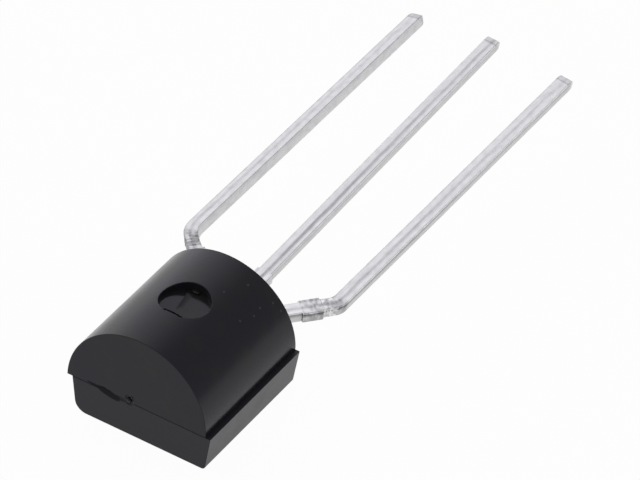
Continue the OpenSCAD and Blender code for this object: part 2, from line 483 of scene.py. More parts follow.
class ShaderTree:
    """The nodes of one material, world or other shader."""

    def __init__(self, owner: bpy.types.Material | bpy.types.World) -> None:
        """Empties the owner's tree.

        Args:
            owner: The material or world.
        """
        self.owner = owner
        owner.use_nodes = True
        self.nodes = owner.node_tree.nodes
        self.links = owner.node_tree.links
        self.nodes.clear()

    def add(
        self,
        kind: str,
        settings: dict[str, object],
        sockets: dict[str | int, object],
        output: str | int = 0,
    ) -> Signal:
        """Adds one node.

        Args:
            kind: The node's type.
            settings: Properties that are set before its sockets are read.
            sockets: Values or signals for its inputs, by name or place.
            output: The output that is wanted.

        Returns:
            That output.
        """
        node = self.nodes.new(kind)
        for setting, value in settings.items():
            setattr(node, setting, value)
        for name, value in sockets.items():
            if isinstance(value, Signal):
                self.links.new(value.socket, node.inputs[name])
            else:
                node.inputs[name].default_value = value
        return Signal(self, node.outputs[output])

    def end(self, kind: str, shader: Signal) -> None:
        """Ends the tree in an output node of a type."""
        self.links.new(shader.socket, self.nodes.new(kind).inputs["Surface"])

    def coat(self, sockets: dict[str, object]) -> bpy.types.Material:
        """Ends a material's tree in a Principled shader.

        Args:
            sockets: Values or signals for the shader's inputs, by name.

        Returns:
            The material.
        """
        shader = self.add("ShaderNodeBsdfPrincipled", {}, sockets, "BSDF")
        self.end("ShaderNodeOutputMaterial", shader)
        return self.owner

    def measure(self, operation: str, first: Signal, second: tuple | Vector) -> Signal:
        """One Vector Math node that gives a number from two vectors."""
        sockets = {0: first, 1: second}
        return self.add("ShaderNodeVectorMath", {"operation": operation}, sockets, "Value")

    def millimetres(self) -> Signal:
        """The piece's own coordinates in millimetres."""
        sockets = {0: self.add("ShaderNodeTexCoord", {}, {}, "Object"), "Scale": 1 / MM}
        return self.add("ShaderNodeVectorMath", {"operation": "SCALE"}, sockets, "Vector")

    def strip_place(self) -> Signal:
        """Place on the flat strip, in millimetres, that a lead's surface had before it was formed."""
        return self.add("ShaderNodeAttribute", {"attribute_name": STRIP}, {}, "Vector")

    def part(self, vector: Signal, axis: str) -> Signal:
        """The X, Y or Z of a vector."""
        return self.add("ShaderNodeSeparateXYZ", {}, {"Vector": vector}, axis)

    def stretched(self, place: Signal, scale: Triple) -> Signal:
        """Coordinates scaled along each axis."""
        return self.add("ShaderNodeMapping", {}, {"Vector": place, "Scale": scale}, "Vector")

    def noise(self, place: Signal, scale: float, detail: float = 2.0) -> Signal:
        """A pattern around 0.5, by its blobs in a unit of length and how many finer layers it has."""
        sockets = {"Vector": place, "Scale": scale, "Detail": detail}
        return self.add("ShaderNodeTexNoise", {}, sockets, "Fac")

    def blend(self, share: Number, first: tuple | Signal, second: tuple | Signal) -> Signal:
        """A colour between two: the first where the share is 0, and the second where it is 1."""
        sockets = {0: share, 6: first, 7: second}
        return self.add("ShaderNodeMix", {"data_type": "RGBA"}, sockets, 2)

    def bump(self, height: Signal, depth: float) -> Signal:
        """A normal that follows a height, by the depth in millimetres that a height of 1 means."""
        return self.add("ShaderNodeBump", {}, {"Height": height, "Distance": depth * MM}, "Normal")


def colour(red: float, green: float, blue: float) -> Colour:
    """An opaque colour."""
    return (red, green, blue, 1.0)


@dataclass(frozen=True)
class EpoxyFinish:
    """Satin black moulding compound with a fine eroded grain and a few pale filler flecks.

    The floor of the ejector mark is smoother than the rest, because the pin's end was polished, and
    the half below the parting plane is a little rougher than the half above it.
    """

    parting: float
    floor_middle: Vector
    floor_radius: float
    flecks: tuple[tuple[Vector, float], ...]
    base: Colour = colour(0.0143, 0.0139, 0.0178)
    cloud: Colour = colour(0.0165, 0.0175, 0.0155)
    lower: Colour = colour(0.0170, 0.0166, 0.0200)
    fleck: Colour = colour(0.05, 0.05, 0.045)
    roughness: float = 0.195
    lower_roughness: float = 0.32
    grain_roughness: float = 0.08
    cloud_roughness: float = 0.04
    polish: float = 0.06
    floor_reach: float = 0.008
    specular: float = 0.23
    tint: Colour = colour(0.92, 0.89, 1.0)
    cloud_scale: float = 1.1
    cloud_edges: Pair = (0.45, 0.7)
    grain_scale: float = 26.0
    grain_depth: float = 0.003
    scatter_scale: float = 2.6
    scatter_edges: Pair = (0.06, 0.03)
    scatter_share: float = 0.3
    ragged_scale: float = 30.0
    ragged_size: float = 0.02

    def material(self) -> bpy.types.Material:
        """Makes the material.

        Returns:
            The material.
        """
        tree = ShaderTree(bpy.data.materials.new("moulding_compound"))
        place = tree.millimetres()
        height = tree.part(place, "Z")
        clouds = tree.noise(place, self.cloud_scale, 3.0).ramp(*self.cloud_edges)
        grain = tree.noise(place, self.grain_scale, 3.0)
        flecks = self.fleck_mask(tree, place)
        polished = self.polished(tree, place, height)
        below = height < self.parting
        base = tree.blend(below, tree.blend(clouds, self.base, self.cloud), self.lower)
        sockets = {
            "Base Color": tree.blend(flecks, base, self.fleck),
            "Roughness": self.roughness
            + (self.lower_roughness - self.roughness) * below
            + self.grain_roughness * (grain - 0.5)
            + self.cloud_roughness * clouds
            - self.polish * polished,
            "Specular IOR Level": self.specular,
            "Specular Tint": self.tint,
            "Normal": tree.bump(grain * (1 - 0.8 * polished) + 0.4 * flecks, self.grain_depth),
        }
        return tree.coat(sockets)

    def fleck_mask(self, tree: ShaderTree, place: Signal) -> Signal:
        """1 on the placed flecks and a few scattered small ones, and 0 elsewhere.

        Args:
            tree: The material's tree.
            place: The piece's coordinates in millimetres.

        Returns:
            The mask.
        """
        sockets = {"Vector": place, "Scale": self.scatter_scale}
        cell = tree.add("ShaderNodeTexVoronoi", {}, sockets, "Distance")
        here = tree.noise(place, 2.1, 0.0) > 0.6
        mask = self.scatter_share * cell.ramp(*self.scatter_edges) * here
        ragged = self.ragged_size * (tree.noise(place, self.ragged_scale, 1.0) - 0.5)
        for middle, radius in self.flecks:
            mask = mask + (tree.measure("DISTANCE", place, middle) + ragged < radius)
        return mask

    def polished(self, tree: ShaderTree, place: Signal, height: Signal) -> Signal:
        """1 on the floor of the ejector mark and 0 elsewhere.

        Args:
            tree: The material's tree.
            place: The piece's coordinates in millimetres.
            height: Their Z.

        Returns:
            The mask.
        """
        x, y, level = self.floor_middle
        away = tree.measure("DISTANCE", tree.stretched(place, (1, 1, 0)), (x, y, 0))
        return (away < self.floor_radius) * (abs(height - level) < self.floor_reach)


@dataclass(frozen=True)
class TinFinish:
    """Matt tin plate with blotches and drawn streaks, and painted shade along the pressed groove, down
    the sides, on one rounded rim of the upper face and on the tip facet.

    The tones say how pale the upper face and the sides are; the sides' tone is partly their sheared
    finish and partly painted shade. Where the strip was clamped and bent, between two places that
    count from the moulding, the plate is burnished and gets painted shade for its creases. Fields that
    end in edges say where a ramp is 0 and where it is 1. Those that end in pattern say how many blobs
    a noise has in a millimetre across and along the strip.
    """

    # Where the painted shade along the pressed groove runs across the strip, and how dark it is.
    groove_shade_x: float
    groove_shade_share: float
    shear_and_shade_share: float
    blotch_share: float
    top_tone: float
    # The sides' tone is partly their sheared finish and partly painted shade.
    side_sheared_and_shaded_tone: float
    worked: Pair
    # How dark the painted shade of the clamped stretch and its creases is.
    crease_shade_share: float
    # How dark the painted shade on the rounded rim of the upper face is.
    rim_shade_share: float = 0.2
    tip_shade_share: float = 0.3
    blotch_and_shade_tone: float = 0.12
    roughness: float = 0.5
    blotch_roughness: float = 0.15
    worked_polish: float = 0.2
    drawn_pattern: Pair = (16.0, 0.8)
    blotch_pattern: Pair = (6.0, 3.5)
    wander_pattern: Pair = (0.0, 0.9)
    crease_shade_pattern: Pair = (3.0, 6.0)
    drawn_edges: Pair = (0.45, 0.7)
    blotch_edges: Pair = (0.4, 0.7)
    crease_shade_edges: Pair = (0.4, 0.62)
    groove_shade_edges: Pair = (0.09, 0.01)
    groove_shade_wander: float = 0.06
    step_drop: float = 0.035
    step_wander: float = 0.03
    shear_and_shade_edges: Pair = (0.16, 0.03)
    rim_shade_edges: Pair = (0.065, 0.025)
    far_edges: Pair = (7.0, 14.0)
    bump_depth: float = 0.004

    def material(self, name: str, half: Vector, clamped: Pair, tip: float) -> bpy.types.Material:
        """Makes the material of one lead.

        Args:
            name: Its name.
            half: Half the section of the strip.
            clamped: Where the worked stretch starts and ends along the strip.
            tip: Where the painted shade of the tip facet starts along it.

        Returns:
            The material.
        """
        tree = ShaderTree(bpy.data.materials.new(name))
        strip = tree.strip_place()
        across, along, height = (tree.part(strip, axis) for axis in "XYZ")

        def pattern(wide: float, long: float) -> Signal:
            """Noise by its blobs in a millimetre across and along the strip."""
            return tree.noise(tree.stretched(strip, (wide, long, wide)), 1.0)

        drawn, blotches = pattern(*self.drawn_pattern), pattern(*self.blotch_pattern)
        wander = self.groove_shade_wander * (pattern(*self.wander_pattern) - 0.5)
        step = half.z - self.step_drop + self.step_wander * (blotches - 0.5)
        side = (abs(across) > half.x - 0.004) * (height < step)
        # Painted shade along the pressed groove, moved a little off the groove's line by the wander.
        line = abs(across - self.groove_shade_x + wander).ramp(*self.groove_shade_edges)
        # The sides darken towards the bottom, partly for their sheared finish and partly as painted
        # shade.
        edge = side * (step - height).ramp(*self.shear_and_shade_edges)
        # Painted shade on the rounded rim of the upper face on the strip's -X side.
        rim = (across + half.x).ramp(*self.rim_shade_edges) * (1 - side)
        # The painted shade along the groove and down the sides fades to half towards the far tips.
        far = tree.part(tree.millimetres(), "Y").ramp(*self.far_edges)
        # The painted shade and the real blotches and streaks add up to how far the tone darkens.
        shade_and_blotches = self.groove_shade_share * line * (1 - side) * (0.6 + 0.8 * drawn) + self.shear_and_shade_share * edge
        shade_and_blotches = shade_and_blotches * (1 - 0.5 * far) + self.rim_shade_share * rim
        spoiled = blotches.ramp(*self.blotch_edges) + 0.5 * drawn.ramp(*self.drawn_edges)
        shade_and_blotches = shade_and_blotches + self.blotch_share * spoiled
        start, end = clamped
        # Painted shade over the clamped stretch, darker in streaks for its creases; the lower
        # roughness there is the plate's real burnish.
        worked = along.ramp(start, start + 0.1) * along.ramp(end, end - 0.2)
        creases = pattern(*self.crease_shade_pattern).ramp(*self.crease_shade_edges)
        shade_and_blotches = shade_and_blotches + self.crease_shade_share * worked * (0.4 + 0.6 * creases)
        # Painted shade on the tip facet, with a darker painted line where it starts.
        tip_facet_shade = 0.5 * along.ramp(tip, tip + 0.04) + abs(along - tip).ramp(0.05, 0.01)
        shade_and_blotches = shade_and_blotches + self.tip_shade_share * tip_facet_shade * (1 - side)
        # The sides get their own tone, partly for their sheared finish and partly as painted shade.
        tone = tree.blend(side, self.tin(self.top_tone), self.tin(self.side_sheared_and_shaded_tone))
        sockets = {
            # The real blotches and streaks and all the painted shade darken the tone towards one grey.
            "Base Color": tree.blend(shade_and_blotches, tone, self.tin(self.blotch_and_shade_tone)),
            "Metallic": 1.0,
            "Roughness": self.roughness
            + self.blotch_roughness * (blotches - 0.5)
            - self.worked_polish * worked,
            "Normal": tree.bump(0.3 * drawn + blotches, self.bump_depth),
        }
        return tree.coat(sockets)

    def tin(self, tone: float) -> Colour:
        """The grey of tin, with a trace of blue, at a paleness from 0 to 1."""
        return colour(tone, tone, 1.01 * tone)


@dataclass(frozen=True)
class SealedFinish:
    """Metal or silicon of a part that is sealed in the moulding."""

    name: str
    base: Colour
    worn: Colour
    metallic: float
    roughness: float
    grain: float

    def material(self) -> bpy.types.Material:
        """Makes the material.

        Returns:
            The material.
        """
        tree = ShaderTree(bpy.data.materials.new(self.name))
        pattern = tree.noise(tree.millimetres(), self.grain, 3.0)
        sockets = {
            "Base Color": tree.blend(pattern.ramp(0.4, 0.7), self.base, self.worn),
            "Metallic": self.metallic,
            "Roughness": self.roughness + 0.2 * (pattern - 0.5),
            "Normal": tree.bump(pattern, 0.001),
        }
        return tree.coat(sockets)


@dataclass(frozen=True)
class FloorFinish:
    """Pale floor whose white shows to the camera, to metal and to glass, and keeps a soft shadow."""

    paint: Colour = colour(0.9, 0.9, 0.9)
    white_share: float = 0.965

    def material(self) -> bpy.types.Material:
        """Makes the material.

        Returns:
            The material.
        """
        made = bpy.data.materials.new("floor_paint")
        tree = ShaderTree(made)
        seen = tree.add("ShaderNodeLightPath", {}, {}, "Is Camera Ray")
        for ray in ("Is Glossy Ray", "Is Transmission Ray"):
            seen = seen + tree.add("ShaderNodeLightPath", {}, {}, ray)
        share = self.white_share * (seen > 0.5)
        paint = tree.add("ShaderNodeBsdfDiffuse", {}, {"Color": self.paint}, "BSDF")
        white = tree.add("ShaderNodeEmission", {}, {"Strength": 1.0}, "Emission")
        mixed = tree.add("ShaderNodeMixShader", {}, {0: share, 1: paint, 2: white}, "Shader")
        tree.end("ShaderNodeOutputMaterial", mixed)
        made.cycles.emission_sampling = "NONE"
        return made


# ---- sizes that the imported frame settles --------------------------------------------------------


class Place(Enum):
    """A lead's place in the row, as the way in which it is formed outwards."""

    LEFT = -1
    CENTRE = 0
    RIGHT = 1

    @property
    def node(self) -> str:
        """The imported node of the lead."""
        return f"{self.name.lower()}_lead"


@dataclass(frozen=True)
class Datum:
    """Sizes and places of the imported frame, in millimetres."""

    half_width: float
    half_length: float
    parting: float
    crown_radius: float
    crown_x: float
    crown_setback: float
    frame_x: float
    thickness: float
    tips: dict[Place, float]
    flag_low: float

    @classmethod
    def measure(cls) -> "Datum":
        """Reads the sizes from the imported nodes.

        Returns:
            The sizes.
        """
        low, high = (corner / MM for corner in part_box("moulded_body"))
        lead_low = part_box(Place.CENTRE.node)[0] / MM
        solder_low, solder_high = (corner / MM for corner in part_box("die_solder"))
        crown_radius = high.z - lead_low.z
        return cls(
            half_width=high.x,
            half_length=-low.y,
            parting=lead_low.z,
            crown_radius=crown_radius,
            crown_x=low.x + crown_radius,
            crown_setback=high.y + low.y,
            frame_x=(solder_low.x + solder_high.x) / 2,
            thickness=solder_low.z - lead_low.z,
            tips={place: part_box(place.node)[1].y / MM for place in Place},
            flag_low=lead_low.y,
        )

    @property
    def crown_top(self) -> float:
        """Height of the top of the crown."""
        return self.parting + self.crown_radius


# ---- the moulding -------------------------------------------------------------------------------


@dataclass
class Moulding:
    """The epoxy body: a drafted base, a round crown set a little to one side, and their marks."""

    datum: Datum
    side_draft: float = 7.0
    base_end_draft: float = 1.2
    crown_end_draft: float = 1.1
    left_edge_radius: float = 0.38
    right_edge_radius: float = 0.12
    corner_radius: float = 0.02
    parting_radius: float = 0.006
    near_setback: float = 0.013
    crown_edge_radius: float = 0.018
    crown_sides: int = 192
    mark_radius: float = 0.75
    mark_depth: float = 0.3
    rim_radius: float = 0.02
    patch_steps: int = 12
    bar_half: Vector = Vector((0.115, 0.36, 0.02))
    bar_offset: Vector = Vector((-0.085, 0.17, 0.002))
    bar_turns: Triple = (1.2, 19.0, 9.5)
    bar_end_slope: float = 0.12
    lip_low: Vector = Vector((-0.26, -0.86, -0.09))
    lip_high: Vector = Vector((0.36, -0.65, 0))
    lip_steps: int = 12
    lip_radius: float = 0.012
    chip_offset: Vector = Vector((-0.07, 0.7, 0.05))
    chip_half: Triple = (0.13, 0.09, 0.022)
    chip_turn: float = 3.0
    crown_flecks: tuple[Triple, ...] = (
        (0.493, 0.978, 0.03),
        (0.802, 1.747, 0.035),
        (1.381, 1.502, 0.035),
        (1.281, 0.619, 0.035),
        (1.414, 1.145, 0.03),
        (1.495, 2.01, 0.035),
        (1.711, 2.116, 0.03),
    )

    def build(self) -> bpy.types.Object:
        """Shapes and dresses the whole moulding.

        Returns:
            The finished moulding.
        """
        body = self.shape_base()
        crown = self.shape_crown()
        self.sink_mark(crown)
        body.weld_on(crown)
        for scrap in (self.shape_bar(), self.shape_lip(), self.shape_chip()):
            body.weld_on(scrap)
        for tool in [*self.gate_tools(), *self.crack_tools()]:
            body.cut_away(tool)
        for nub in self.gate_nubs():
            body.weld_on(nub)
        flecks = [(self.on_crown(Vector((x, y, 0))), radius) for x, y, radius in self.crown_flecks]
        finish = EpoxyFinish(
            self.datum.parting, self.floor, self.mark_radius - self.rim_radius, tuple(flecks)
        )
        return body.finish(finish.material(), "moulding", "moulded_body")

    @property
    def floor(self) -> Vector:
        """Middle of the floor of the ejector mark."""
        return Vector((self.datum.crown_x, 0, self.datum.crown_top - self.mark_depth))

    def shape_base(self) -> Workpiece:
        """Shapes the half below the parting plane.

        Returns:
            The base, with drafted sides and a rounded flat side.
        """
        d = self.datum
        low = Vector((-d.half_width, -d.half_length, 0))
        high = Vector((d.half_width, d.half_length, d.parting))
        base = Workpiece.block("epoxy_moulding", low, high)
        narrow = 1 - d.parting * math.tan(math.radians(self.side_draft)) / d.half_width
        short = 1 - d.parting * math.tan(math.radians(self.base_end_draft)) / d.half_length
        with base.editing():
            base.pick(Element.FACES, lambda c, n: n.z < -0.9)
            base.resize((narrow, short, 1), Vector())
            turn = math.radians(90 - self.side_draft)
            for side, radius in ((-1, self.left_edge_radius), (1, self.right_edge_radius)):
                base.pick(Element.EDGES, lambda c, n: c.x * side > 1 and abs(c.y) + c.z < TINY)
                base.bevel(radius * math.tan(turn / 2), strips=10)
            base.pick_sharp(60, lambda c, n: abs(c.y) > TINY and c.z < d.parting - TINY)
            base.bevel(self.corner_radius, strips=4)
            base.pick_sharp(60, lambda c, n: c.z > d.parting - TINY)
            base.bevel(self.parting_radius, strips=2)
        return base

    def shape_crown(self) -> Workpiece:
        """Shapes the half above the parting plane.

        Returns:
            Part of a rod between two drafted ends.
        """
        d = self.datum
        axis = Vector((d.crown_x, 0, d.parting))
        crown = Workpiece.rod("crown", axis, d.crown_radius, 3 * d.half_length, self.crown_sides)
        draft = math.radians(self.crown_end_draft)
        with crown.editing():
            crown.slice(axis, UP, Keep.FRONT)
            for side, setback in ((-1, self.near_setback), (1, d.crown_setback)):
                end = Vector((0, side * d.half_length + setback, d.parting))
                facing = Vector((0, side * math.cos(draft), math.sin(draft)))
                crown.slice(end, facing, Keep.BACK)
            crown.pick_sharp(60, lambda c, n: c.z > d.parting + TINY)
            crown.bevel(self.crown_edge_radius, strips=3)
        return crown

    def on_crown(self, point: Vector) -> Vector:
        """Finds a place on the crown's round surface.

        Args:
            point: A point above or below it.

        Returns:
            The point of the surface.
        """
        across = point.x - self.datum.crown_x
        height = math.sqrt(self.datum.crown_radius**2 - across**2)
        return Vector((point.x, point.y, self.datum.parting + height))

    def sink_mark(self, crown: Workpiece) -> None:
        """Sinks the ejector pin's round mark into the top of the crown.

        A square patch of the crown is cut out, a ring of new faces joins its edge to a circle, and
        the circle is drawn in over a rounded rim and down to the floor.

        Args:
            crown: The crown, still without its mark.
        """
        d = self.datum
        step = 2 * math.pi / self.crown_sides
        half_patch = d.crown_radius * math.sin(self.patch_steps * step)
        centre = Vector((d.crown_x, 0, d.crown_top))
        inside = half_patch - TINY

        def in_patch(point: Vector, normal: Vector) -> bool:
            """Whether a point of the crown lies in the patch."""
            offset = point - centre
            return abs(offset.x) < inside and abs(offset.y) < inside and point.z > 2 * d.parting

        with crown.editing():
            for row in range(-self.patch_steps, self.patch_steps + 1):
                crown.slice(half_patch * row / self.patch_steps * AHEAD, AHEAD)
            crown.pick(Element.FACES, in_patch)
            bpy.ops.mesh.delete(type="FACE")
            bpy.ops.mesh.select_mode(type="VERT")
            bpy.ops.mesh.select_all(action="DESELECT")
            rim = self.mark_radius + self.rim_radius
            bpy.ops.mesh.primitive_circle_add(
                vertices=8 * self.patch_steps, radius=rim, location=centre
            )
            crown.reshape(self.on_crown)
            crown.pick_open_edges()
            bpy.ops.mesh.bridge_edge_loops(number_cuts=4)
            crown.reshape(self.on_crown)
            self.draw_rim_down(crown, centre)

    def draw_rim_down(self, crown: Workpiece, centre: Vector) -> None:
        """Draws the open circle over a rounded rim, down the wall and across the floor.

        Args:
            crown: The crown, open at the circle and in edit mode.
            centre: Middle of the mark at the top of the crown.
        """
        floor = centre - self.mark_depth * UP
        across, down = self.mark_radius + self.rim_radius, 0.0
        crown.pick_open_edges()
        for share in (0.25, 0.5, 0.75, 1.0):
            angle = share * math.pi / 2
            new_across = self.mark_radius + self.rim_radius * (1 - math.sin(angle))
            new_down = self.rim_radius * (1 - math.cos(angle))
            crown.extrude_edges((down - new_down) * UP)
            factor = new_across / across
            crown.resize((factor, factor, 1), centre)
            across, down = new_across, new_down
        crown.extrude_edges(Vector())
        crown.resize((1, 1, 0), floor)
        bpy.ops.mesh.edge_face_add()

    def shape_bar(self) -> Workpiece:
        """Shapes the plain bar on the mark's floor.

        Returns:
            The bar, tipped so that its right edge lies flush with the floor.
        """
        centre = self.floor + self.bar_offset
        bar = Workpiece.block("bar", centre - self.bar_half, centre + self.bar_half)
        with bar.editing():
            bar.pick(Element.POINTS, lambda c, n: c.y < centre.y and c.z > centre.z)
            bar.shift(self.bar_end_slope * AHEAD)
            bar.pick_all()
            for axis, degrees in zip("XYZ", self.bar_turns):
                bar.turn(axis, degrees, centre)
        return bar

    def shape_lip(self) -> Workpiece:
        """Shapes a thin lip of flash.

        Returns:
            The lip, which covers a chord of the mark's rim at the closed end.
        """
        axis, top = self.datum.crown_x * ACROSS, self.datum.crown_top
        low, high = axis + self.lip_low + top * UP, axis + self.lip_high + top * UP
        lip = Workpiece.block("lip", low, high)
        with lip.editing():
            for step in range(1, self.lip_steps):
                place = low.x + step * (high.x - low.x) / self.lip_steps
                lip.slice(place * ACROSS, ACROSS)
            lip.pick_sharp(60, lambda c, n: c.y > high.y - TINY and n.z > 0.1)
            lip.bevel(self.lip_radius, strips=2)
            lip.pick(Element.POINTS, lambda c, n: c.z > (low.z + high.z) / 2)
            lip.reshape(lambda point: self.on_crown(point) - (top - point.z) * UP)
        return lip

    def shape_chip(self) -> Workpiece:
        """A chip of compound that lies at the foot of the mark's far wall."""
        middle = self.floor + self.chip_offset
        return Workpiece.pebble("chip", middle, self.chip_half, 0.015, 0.05, self.chip_turn)

    def crack_tools(self) -> list[Workpiece]:
        """Shapes what opens a crack along the lip, wider at both of its ends.

        Returns:
            Rough pebbles.
        """
        places = {
            "crack": (-0.155, -0.69, (0.36, 0.032, 0.08)),
            "left_pit": (-0.4, -0.7, (0.07, 0.045, 0.08)),
            "right_pit": (0.09, -0.69, (0.09, 0.045, 0.08)),
        }
        tools = []
        for name, (x, y, half) in places.items():
            middle, roughness = self.on_crown(Vector((x, y, 0))), 0.35 * min(half)
            tools.append(Workpiece.pebble(name, middle, half, roughness, grain=0.06))
        return tools

    def gate_tools(self) -> list[Workpiece]:
        """Shapes what tears the gate's leaf out of the closed end.

        Returns:
            Rough pebbles that lean in.
        """
        shapes = {
            "leaf": ((-1.07, 0.01, 0.04), (0.4, 0.08, 0.25), 12.0, -40.0),
            "tail": ((-1.5, 0.05, 0.01), (0.34, 0.03, 0.06), 3.0, -35.0),
            "bridge": ((-0.67, -0.013, 0.004), (0.2, 0.024, 0.1), 4.0, -20.0),
            "blob": ((-0.39, 0.07, 0.0), (0.16, 0.06, 0.19), 0.0, -10.0),
        }
        tools = []
        for name, (place, half, turn, tip) in shapes.items():
            middle, roughness = self.at_gate(*place), 0.4 * min(half)
            tools.append(Workpiece.pebble(name, middle, half, roughness, 0.1, turn, tip))
        return tools

    def gate_nubs(self) -> list[Workpiece]:
        """Shapes the scraps of the runner that still stand in the gate's scar.

        Returns:
            Rough pebbles.
        """
        nubs = {"nub": (-0.42, 0.04, 0.08), "high_nub": (-0.31, 0.2, 0.05)}
        made = []
        for name, (x, up, half) in nubs.items():
            middle, size = self.at_gate(x, up, 0.05), (half, 0.06, half)
            made.append(Workpiece.pebble(name, middle, size, roughness=0.02, grain=0.08))
        return made

    def at_gate(self, x: float, up: float, back: float) -> Vector:
        """A place at the gate, by its height over the parting plane and depth behind the face."""
        return Vector((x, back - self.datum.half_length, self.datum.parting + up))


# ---- the leads ----------------------------------------------------------------------------------


def spaced(start: float, end: float, step: float) -> list[float]:
    """Evenly spaced places from a start to short of an end."""
    return [start + step * i for i in range(int((end - start) / step))]


@dataclass
class Lead:
    """A tinned lead: a blank with its tab, wings and dam bar stubs, formed along its path.

    The blank runs along +Y from its inner end, with its middle on the Y axis. Its place there is
    kept as an attribute, so that the drawn streaks and the painted shade along the groove follow the
    bends. Pairs of places along it, such as the dam bar's, count from where it leaves the moulding.
    Only the groove's second end counts back from the tip.
    """

    datum: Datum
    place: Place
    spread: float
    angle: float
    toe: float
    twist: float
    groove_depth: float
    groove_x: float
    creased: Pair
    plate: TinFinish
    inner_y: float
    tab_half_width: float
    tab_length: float
    wings: Pair
    width: float = 0.42
    pitch: float = 1.27
    joggle_start: float = 0.65
    bend_radius: float = 0.42
    bend_steps: int = 24
    centre_bend: float = 0.8
    dam_bar: Pair = (1.37, 2.0)
    dam_bar_stub: float = 0.06
    wing_span: Pair = (-0.7, -0.44)
    rise: float = 1.63
    rise_start: float = 0.28
    edge_radius: float = 0.035
    tip_narrowing: float = 0.86
    tip_bevel: Vector = Vector((0, 0.2, 0.14))
    tip_round: float = 0.08
    tip_round_share: float = 0.35
    # Where the painted shade of the tip facet starts, back from the tip.
    tip_shade_back: float = 0.34
    groove_ends: Pair = (0.2, 0.3)
    groove_fade: float = 0.5
    groove_slices: tuple[float, ...] = (-0.13, -0.09, -0.05, 0, 0.05, 0.09, 0.13)
    side_slices: tuple[float, ...] = (-0.08, 0, 0.08)
    hidden_ring: float = 0.1
    fine_reach: float = 3.4
    fine_step: float = 0.06
    coarse_step: float = 0.16
    coarse_end: float = 0.4
    ring_gap: float = 0.02
    waviness: float = 0.006
    wave_grain: float = 0.16
    wave_stretch: Vector = Vector((1, 9, 1))
    crease_depth: float = 0.045
    crease_grain: float = 0.09
    crease_stretch: Vector = Vector((2.2, 1, 1))
    crease_fades: Pair = (0.08, 0.15)

    def build(self) -> bpy.types.Object:
        """Shapes, forms and dresses the lead.

        Returns:
            The finished lead.
        """
        side = self.place.name.lower()
        lead = self.shape_blank(f"{side}_tinned_lead")
        self.work_surface(lead)
        self.form(lead)
        tip = self.blank_length() - self.tip_shade_back
        clamped = self.span(self.plate.worked)
        material = self.plate.material(f"{side}_tin_plate", self.half, clamped, tip)
        return lead.finish(material, "tinned_lead", self.place.node)

    @property
    def exit(self) -> float:
        """Where the blank leaves the moulding, from its inner end."""
        return self.datum.half_length - self.inner_y

    @property
    def half(self) -> Vector:
        """Half the section of the blank."""
        return Vector((self.width / 2, 0, self.datum.thickness / 2))

    def span(self, places: Pair) -> Pair:
        """A stretch of the blank, from its inner end, by its places from the moulding."""
        return self.exit + places[0], self.exit + places[1]

    def path(self) -> list[tuple[Vector, float]]:
        """The line that the middle of the lead follows, in plan.

        Returns:
            Points from the inner end to beyond the tip, each with its twist in degrees.
        """
        side = self.place.value
        x = self.datum.frame_x + side * self.pitch
        points = [(Vector((x, self.inner_y, 0)), 0.0)]
        heading = 0.0
        legs = self.legs()
        turns = sum(turn != 0 for _, turn in legs)
        for length, turn in legs:
            place, twist = points[-1]
            if turn == 0:
                ahead = Vector((math.sin(heading), math.cos(heading), 0))
                points.append((place + ahead * length, twist))
                continue
            for _ in range(self.bend_steps):
                heading += turn / self.bend_steps / 2
                ahead = Vector((math.sin(heading), math.cos(heading), 0))
                twist += self.twist / self.bend_steps / turns
                points.append((points[-1][0] + ahead * length / self.bend_steps, twist))
                heading += turn / self.bend_steps / 2
        return points

    def legs(self) -> list[Pair]:
        """Works out the path's straight and curved legs.

        Returns:
            Each leg's length, with its turn in radians.
        """
        beyond, toe = self.datum.tips[self.place], math.radians(self.toe)
        if self.place is Place.CENTRE:
            return [(self.exit, 0.0), (self.centre_bend, -toe), (beyond, 0.0)]
        side, joggle, radius = self.place.value, math.radians(self.angle), self.bend_radius
        bends = radius * (1 + math.cos(toe) - 2 * math.cos(joggle))
        run = (self.spread - bends) / math.sin(joggle)
        return [
            (self.exit + self.joggle_start, 0.0),
            (radius * joggle, side * joggle),
            (run, 0.0),
            (radius * (joggle + toe), -side * (joggle + toe)),
            (beyond, 0.0),
        ]

    def blank_length(self) -> float:
        """Works out the blank's length from where the formed tip has to be.

        Returns:
            The length.
        """
        places = [place for place, _ in self.path()]
        length = sum((end - start).length for start, end in zip(places[:-2], places[1:-1]))
        ahead = (places[-1] - places[-2]).normalized()
        return length + (self.datum.tips[self.place] - places[-2].y) / ahead.y

    def stations(self, length: float) -> list[float]:
        """Says where rings of edges cross the blank.

        Args:
            length: The blank's length.

        Returns:
            Places from its inner end.
        """
        marks = [self.tab_length, self.exit - self.hidden_ring, *self.span(self.wing_span)]
        marks += self.span(self.dam_bar)
        marks += [length - back for back in (self.tip_bevel.y, self.tip_round, self.groove_ends[1])]
        fine_end = self.exit + self.fine_reach
        rings = spaced(self.exit, fine_end, self.fine_step)
        rings += spaced(fine_end, length - self.coarse_end, self.coarse_step)
        clear = [y for y in rings if all(abs(y - mark) > self.ring_gap for mark in marks)]
        return sorted(marks + clear)

